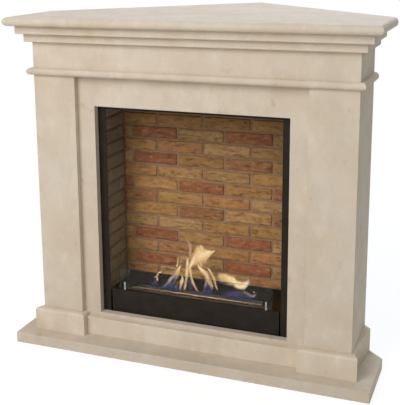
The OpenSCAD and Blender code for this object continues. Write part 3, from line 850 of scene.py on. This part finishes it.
# ---------------------------------------------------------------- Glass screen and posts
# A low pane of toughened glass with ground edges stands in two chromed posts in front of
# the flames. Each post is turned, and sawn down the middle to take the glass.
glass_low, glass_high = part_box("glass_screen")
glass_play = 0.0003
half_gap = (glass_high.y - glass_low.y) / 2 + glass_play
post_radius, foot_radius, pane_corner = 0.0035, 0.0050, 0.005
for side in ("left", "right"):
    low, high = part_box("glass_post_" + side)
    centre = Vector(((low.x + high.x) / 2, (low.y + high.y) / 2, low.z))
    height = high.z - low.z
    post = turned([(0, 0), (0.0049, 0), (foot_radius, 0.0003), (foot_radius, 0.0011),
                   (0.0044, 0.0017), (post_radius, 0.0019), (post_radius, post_radius),
                   (0, post_radius)], centre, 32)
    for sign in (1, -1):
        jaw = turned([(0, post_radius), (post_radius, post_radius),
                      (post_radius, height - 0.0010), (post_radius - 0.0004, height - 0.0003),
                      (post_radius - 0.0011, height), (0, height)], centre, 32)
        saw(jaw, centre + Vector((0, sign * half_gap, 0)), Vector((0, -sign, 0)))
        part = bpy.data.meshes.new("jaw")
        jaw.to_mesh(part)
        jaw.free()
        post.from_mesh(part)
        bpy.data.meshes.remove(part)
    for face in post.faces:  # flat discs in the joint keep the reflections on the walls straight
        if all(abs(v.co.z - low.z - post_radius) < flush for v in face.verts):
            face.smooth = False
    set_in_place(post, "post_turned_" + side, [chrome], "glass_post_" + side)

clear_glass, _, _ = new_finish("clear_glass", (0.97, 0.99, 0.98, 1), 0.02,
                               Transmission_Weight=1.0, IOR=1.2)
edge_glass, _, _ = new_finish("ground_glass_edge", linear(120, 150, 140), 0.25,
                              Transmission_Weight=0.7)
bm = blank(glass_low, glass_high)
corners = [e for e in bm.edges if reach(e, 1) > flush and lies_at(e, 2, glass_high.z)]
round_over(bm, corners, pane_corner, segments=6)
for face in bm.faces:
    face.smooth = False
    face.material_index = 0 if abs(face.normal.y) > 0.9 else 1
set_in_place(bm, "glass_pane", [clear_glass, edge_glass], "glass_screen")


# ---------------------------------------------------------------- Wall brackets
# Two angles of galvanised steel under the shelf. A screw through the upright leaf holds the
# mantel to each wall, and two short screws hold the other leaf to the stone.
zinc, tree, shader = new_finish("zinc_plate", linear(176, 178, 178), 0.42, Metallic=1.0)
place = add_step(tree, "TexCoord")["Object"]
spangle = add_step(tree, "TexVoronoi", {"Vector": place, "Scale": 180})["Color"]
tree.links.new(tint(tree, narrow(tree, spangle, 0, 1), linear(158, 161, 162),
                    linear(192, 194, 194)), shader.inputs["Base Color"])
tree.links.new(narrow(tree, spangle, 0, 1, 0.34, 0.52), shader.inputs["Roughness"])
finish_nodes(zinc, "wall_bracket_left", "wall_bracket_right", "bracket_screws")


# ---------------------------------------------------------------- Flames
# The burning spirit: a row of loose tongues that stand on the wool in the slot, blue at the
# foot and warm white above.
flame_light, tree, shader = new_finish("flame", (0, 0, 0, 1), 1.0, Specular_IOR_Level=0.0,
                                       Emission_Strength=1.0)
heat, density, across, along = painted(tree, "fire_tone")
strand = add_step(tree, "CombineXYZ", {0: across, 1: along})[0]
streak = add_step(tree, "TexNoise", {"Vector": strand, "Scale": 3.4, "Detail": 3.0})["Fac"]
streaked = calculate(tree, "ADD", heat, narrow(tree, streak, 0.3, 0.7, -0.14, 0.14))
glow = blend(tree, streaked, (0.0, linear(50, 54, 92)), (0.16, linear(60, 62, 98)),
             (0.30, linear(112, 107, 128)), (0.44, linear(184, 154, 132)),
             (0.60, linear(228, 182, 122)), (0.80, linear(247, 220, 170)),
             (1.0, linear(255, 246, 224)))
tree.links.new(glow, shader.inputs["Emission Color"])
ragged = calculate(tree, "ADD", density, narrow(tree, streak, 0.32, 0.68, -0.46, 0.26))
tree.links.new(narrow(tree, ragged, 0.02, 0.84, 0.0, 0.88), shader.inputs["Alpha"])

tray_low, tray_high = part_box("fuel_tray")
flame_y = (tray_low.y + tray_high.y) / 2
above_wool, below_shutter, inside_tray = 0.001, 0.001, 0.004
flame_foot = wool_high.z + above_wool
slot_half = (tray_high.y - tray_low.y) / 2 - inside_tray
waver, pinch, cool_edge, sway_width, strand_width = 0.0014, 0.22, 0.46, 0.003, 0.007
fade_in, fade_out, belly = 0.14, 0.22, 0.35


def flame_sheet(bm, marks, spine, heats, strength, turn_by, number):
    """A curved sheet along a spine of (x, z, half width), clear at its edges and its tip"""
    grid = bmesh.ops.create_grid(bm, x_segments=12, y_segments=36, size=0.5)["verts"]
    for v in grid:
        share, far = v.co.x * 2, v.co.y + 0.5
        along = far * (len(spine) - 1)
        i = min(int(along), len(spine) - 2)
        t = along - i
        here, there = spine[i], spine[i + 1]
        before, after = spine[max(i - 1, 0)], spine[min(i + 2, len(spine) - 1)]
        x, z, half = (0.5 * (2 * b + (c - a) * t + (2 * a - 5 * b + 4 * c - d) * t * t
                             + (3 * b - a - 3 * c + d) * t ** 3)
                      for a, b, c, d in zip(before, here, there, after))
        x += waver * math.sin(along * 2.9 + number * 2.3)
        half *= 1 + pinch * math.sin(along * 3.7 + number * 1.9)
        run = Vector((there[0] - here[0], 0, there[1] - here[1])).normalized()
        cross = Vector((run.z, 0, -run.x))
        heat = heats[0] + (heats[1] - heats[0]) * far ** 1.3
        heat -= cool_edge * share * share * min(1.0, heat)
        edge = max(0.0, 1 - abs(share) ** 1.6)
        ends = min(1.0, far / fade_in, (1 - far) / fade_out)
        v[marks] = (heat, strength * edge * max(ends, 0),
                    number * 1.7 + share * half / strand_width, along * 0.30)
        sideways = cross * (share * half)
        sideways.rotate(Matrix.Rotation(turn_by, 3, "Z"))
        bow = belly * half * (1 - share * share)
        sway = sway_width * math.sin(along * 1.7 + spine[0][0] * 40)
        v.co = Vector((x, 0, z)) + sideways + Vector((0, bow * math.cos(turn_by) + sway, 0))


# each tongue: how hot it is at the foot and at the tip, how dense it is, and its spine from
# the foot up, in millimetres: X, Z and half the width
tongues = (
    # low blue haze along the slot
    (0.0, 0.1, 0.50, (-160, 178, 8), (-146, 183, 12), (-132, 181, 8)),
    (0.05, 0.0, 0.52, (-128, 176, 6), (-100, 182, 11), (-72, 183, 12), (-46, 178, 8)),
    (0.1, 0.05, 0.46, (-20, 176, 5), (12, 178, 8), (40, 182, 14), (62, 178, 6)),
    (0.05, 0.0, 0.52, (72, 182, 10), (106, 186, 17), (146, 181, 14), (184, 177, 7)),
    # left curl
    (0.0, 0.3, 0.70, (-152, 178, 5), (-144, 192, 9), (-136, 206, 6)),
    (0.45, 0.9, 0.80, (-146, 206, 3), (-140, 211, 5), (-133, 206, 4), (-134, 198, 2)),
    (0.6, 0.8, 0.85, (-139, 212, 2), (-133, 220, 4), (-127, 228, 4), (-119, 229, 2)),
    # leaning tongue on the left, strands that meet at the top
    (0.15, 0.7, 0.70, (-122, 174, 3), (-108, 188, 5), (-94, 206, 6), (-80, 226, 4)),
    (0.0, 1.05, 0.95, (-104, 174, 5), (-96, 192, 7), (-86, 212, 9), (-72, 232, 10),
     (-61, 250, 6), (-56, 262, 2)),
    (0.1, 0.6, 0.60, (-86, 176, 3), (-83, 194, 5), (-73, 216, 6), (-66, 232, 4)),
    (0.75, 0.55, 0.85, (-68, 252, 3), (-66, 266, 3.5), (-65, 290, 1.2)),
    # low bright tongue beside the tall one
    (0.35, 1.05, 0.95, (-58, 178, 4), (-57, 194, 7), (-53, 212, 7), (-56, 226, 3)),
    (0.15, 0.5, 0.55, (-76, 176, 4), (-70, 192, 6), (-67, 208, 3)),
    # tall tongue: two legs, a waist, the swirl and the spire
    (0.50, 0.95, 1.0, (-45, 177, 3), (-43, 200, 6), (-38, 226, 7), (-37, 252, 7),
     (-33, 274, 5), (-34, 288, 2)),
    (0.45, 0.9, 0.95, (0, 177, 2), (-11, 194, 5), (-20, 216, 5), (-24, 240, 5),
     (-26, 262, 6), (-18, 280, 8)),
    (0.12, 0.4, 0.36, (-24, 180, 12), (-26, 204, 11), (-29, 232, 8)),
    (0.74, 0.86, 1.0, (-28, 250, 5), (-20, 272, 11), (-8, 290, 20), (10, 301, 24),
     (28, 307, 16), (42, 313, 7), (54, 320, 2)),
    (0.60, 0.74, 0.80, (8, 258, 3), (6, 276, 10), (4, 296, 17), (0, 316, 14), (-4, 330, 5)),
    (0.60, 0.78, 0.85, (-14, 266, 7), (2, 286, 18), (12, 304, 21), (10, 322, 12), (4, 334, 3)),
    (0.58, 0.66, 0.60, (4, 264, 5), (18, 284, 11), (34, 302, 8), (50, 318, 2)),
    (0.50, 0.44, 0.62, (-22, 284, 5), (-26, 304, 9), (-29, 326, 9), (-37, 347, 4)),
    # tongue right of the middle, bent to the left, two strands with a dark gap
    (0.0, 0.38, 0.52, (26, 174, 10), (32, 192, 17), (34, 214, 15), (28, 232, 7)),
    (0.45, 1.05, 1.0, (44, 190, 3), (40, 212, 8), (30, 232, 12), (14, 248, 10),
     (2, 260, 5), (-4, 276, 2)),
    (0.5, 0.85, 0.85, (62, 194, 2), (56, 214, 5), (48, 234, 6), (38, 250, 5), (26, 262, 2)),
    (0.2, 0.8, 0.66, (14, 178, 4), (20, 200, 6), (28, 222, 6), (30, 236, 4)),
    # long curl on the right
    (0.52, 1.0, 1.0, (56, 232, 5), (68, 238, 14), (84, 236, 20), (104, 230, 18),
     (122, 223, 15), (140, 221, 13), (153, 230, 10), (160, 243, 4)),
    (0.62, 1.0, 0.85, (78, 250, 4), (88, 244, 10), (102, 234, 13), (120, 224, 11), (140, 216, 7)),
    (0.7, 0.95, 0.80, (112, 220, 6), (134, 216, 12), (148, 222, 10), (156, 230, 4)),
    (0.12, 0.26, 0.48, (86, 176, 6), (104, 188, 13), (128, 194, 12), (150, 196, 6)),
    (0.32, 0.38, 0.62, (140, 206, 5), (152, 196, 8), (168, 190, 7), (180, 198, 4),
     (187, 208, 2)),
)
bm = bmesh.new()
marks = bm.verts.layers.float_color.new("fire_tone")
facing_and_shares = ((0.0, 1.0), (1.2, 0.35), (-1.2, 0.35))
for number, (foot_heat, tip_heat, strength, *spine) in enumerate(tongues):
    spine = [[part / 1000 for part in point] for point in spine]
    for turn_by, share in facing_and_shares:
        flame_sheet(bm, marks, spine, (foot_heat, tip_heat), strength * share, turn_by,
                    number + turn_by)
for v in bm.verts:
    v.co.y = max(-slot_half, min(slot_half, v.co.y)) + flame_y
    v.co.z = max(v.co.z, flame_foot)
for face in bm.faces:
    face.smooth = True
flames = make_piece(bm, "flames", [flame_light])
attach(flames, "surround")
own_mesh(flames)
